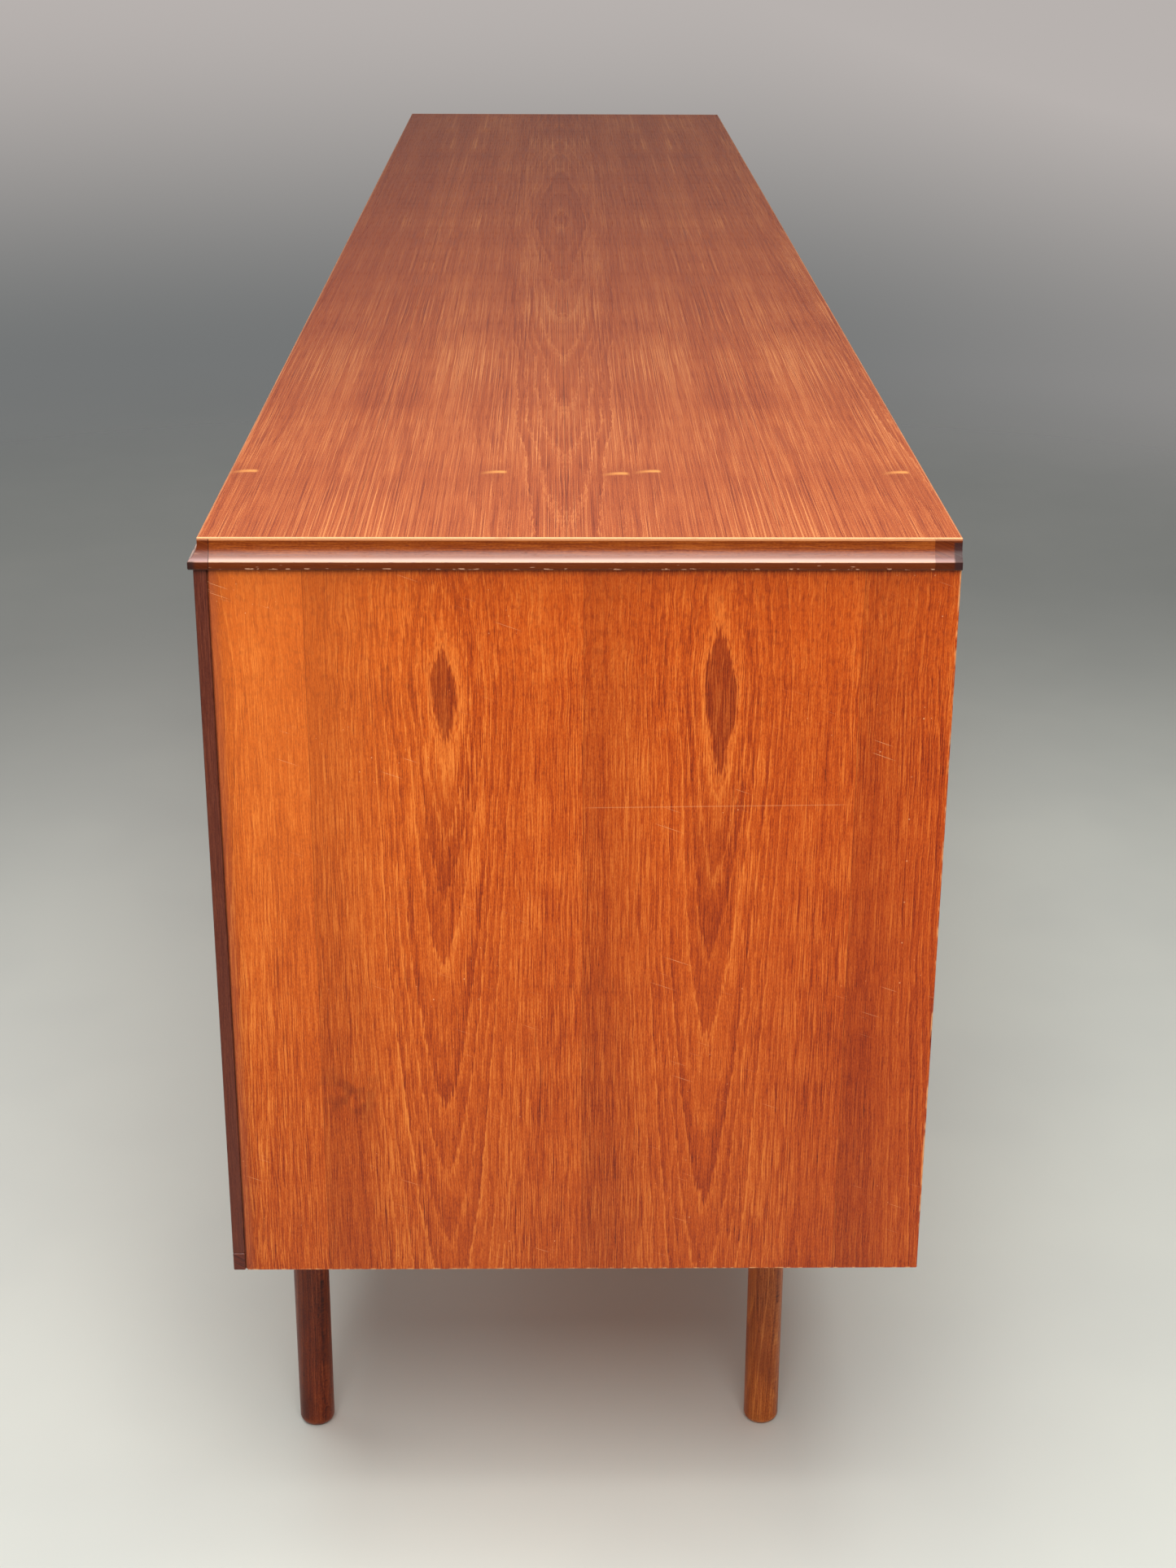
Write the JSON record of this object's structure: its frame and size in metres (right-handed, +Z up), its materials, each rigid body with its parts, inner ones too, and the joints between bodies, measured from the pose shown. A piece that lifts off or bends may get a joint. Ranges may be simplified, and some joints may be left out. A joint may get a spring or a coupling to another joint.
{
  "type": "sideboard buffet",
  "caption": "Long low wooden sideboard on round legs, with a coved top edge, storage bays behind sliding doors, and a bank of drawers between them.",
  "frame": {"origin": "on the floor, under the middle of the overall box", "axes": "+X along the length, front towards -Y, +Z up; right and left are the +X and -X ends"},
  "size_m": [2.295, 0.456, 0.78],
  "materials": {
    "teak_top": "figured teak veneer, book-matched, grain along the length, satin oil",
    "teak_moulding": "solid teak, satin, worn at the edges",
    "blockboard": "raw blockboard",
    "teak_end": "figured teak veneer, grain upright, satin oil",
    "teak_strip": "solid teak, satin",
    "track_rail": "solid teak with waxed grooves",
    "teak_door": "figured teak veneer, satin oil",
    "teak_grip": "solid teak, satin",
    "teak_drawer": "teak veneer, satin oil",
    "drawer_wood": "pale hardwood, lacquered",
    "drawer_ply": "pale plywood",
    "hardwood": "pale hardwood, waxed",
    "carcass_bottom": "plain veneer, satin",
    "partition": "teak veneer, satin",
    "shelf": "teak veneer, satin",
    "back_ply": "plain brown plywood",
    "brass": "dull brass",
    "steel": "zinc-plated steel, dulled",
    "leg": "solid teak, turned, satin"
  },
  "bodies": {
    "carcass": {"back_panel_screws": "steel", "back_panels": "back_ply", "bottom_front_strip": "teak_strip", "bottom_panel": "carcass_bottom", "carcass_dowels": "hardwood", "drawer_runners": "hardwood", "end_panel_left": "teak_end", "end_panel_right": "teak_end", "front_strip_left": "teak_strip", "front_strip_right": "teak_strip", "leg_front_left": "leg", "leg_front_right": "leg", "leg_plate_screws": "steel", "leg_plates": "steel", "leg_rear_left": "leg", "leg_rear_right": "leg", "leg_studs": "steel", "lower_track_rail": "track_rail", "partition_left": "partition", "partition_right": "partition", "partition_strips": "teak_strip", "shelf_left": "shelf", "shelf_pins": "brass", "shelf_right": "shelf", "top_core": "blockboard", "top_moulding_front": "teak_moulding", "top_moulding_left": "teak_moulding", "top_moulding_right": "teak_moulding", "top_rear_blocks": "teak_moulding", "top_rear_rail": "teak_moulding", "top_veneer": "teak_top", "upper_track_rail": "track_rail"},
    "door_left_outer": {"door_left_outer": "teak_door", "door_grip_left_outer": "teak_grip"},
    "door_left_inner": {"door_left_inner": "teak_door", "door_grip_left_inner": "teak_grip"},
    "door_right_outer": {"door_right_outer": "teak_door", "door_grip_right_outer": "teak_grip"},
    "door_right_inner": {"door_right_inner": "teak_door", "door_grip_right_inner": "teak_grip"},
    "drawer_1": {"drawer_1_front": "teak_drawer", "drawer_1_grip": "teak_grip", "drawer_1_sides": "drawer_wood", "drawer_1_back": "drawer_wood", "drawer_1_bottom": "drawer_ply"},
    "drawer_2": {"drawer_2_front": "teak_drawer", "drawer_2_grip": "teak_grip", "drawer_2_sides": "drawer_wood", "drawer_2_back": "drawer_wood", "drawer_2_bottom": "drawer_ply"},
    "drawer_3": {"drawer_3_front": "teak_drawer", "drawer_3_grip": "teak_grip", "drawer_3_sides": "drawer_wood", "drawer_3_back": "drawer_wood", "drawer_3_bottom": "drawer_ply"},
    "drawer_4": {"drawer_4_front": "teak_drawer", "drawer_4_grip": "teak_grip", "drawer_4_sides": "drawer_wood", "drawer_4_back": "drawer_wood", "drawer_4_bottom": "drawer_ply"}
  },
  "joints": [
    {"name": "door_left_outer_slide", "type": "slide", "parent": "carcass", "child": "door_left_outer", "axis": [1, 0, 0], "range_m": [0, 0.4244]},
    {"name": "door_left_inner_slide", "type": "slide", "parent": "carcass", "child": "door_left_inner", "axis": [-1, 0, 0], "range_m": [0, 0.4244]},
    {"name": "door_right_outer_slide", "type": "slide", "parent": "carcass", "child": "door_right_outer", "axis": [-1, 0, 0], "range_m": [0, 0.4244]},
    {"name": "door_right_inner_slide", "type": "slide", "parent": "carcass", "child": "door_right_inner", "axis": [1, 0, 0], "range_m": [0, 0.4244]},
    {"name": "drawer_1_slide", "type": "slide", "parent": "carcass", "child": "drawer_1", "axis": [0, -1, 0], "range_m": [0, 0.31]},
    {"name": "drawer_2_slide", "type": "slide", "parent": "carcass", "child": "drawer_2", "axis": [0, -1, 0], "range_m": [0, 0.31]},
    {"name": "drawer_3_slide", "type": "slide", "parent": "carcass", "child": "drawer_3", "axis": [0, -1, 0], "range_m": [0, 0.31]},
    {"name": "drawer_4_slide", "type": "slide", "parent": "carcass", "child": "drawer_4", "axis": [0, -1, 0], "range_m": [0, 0.31]}
  ]
}
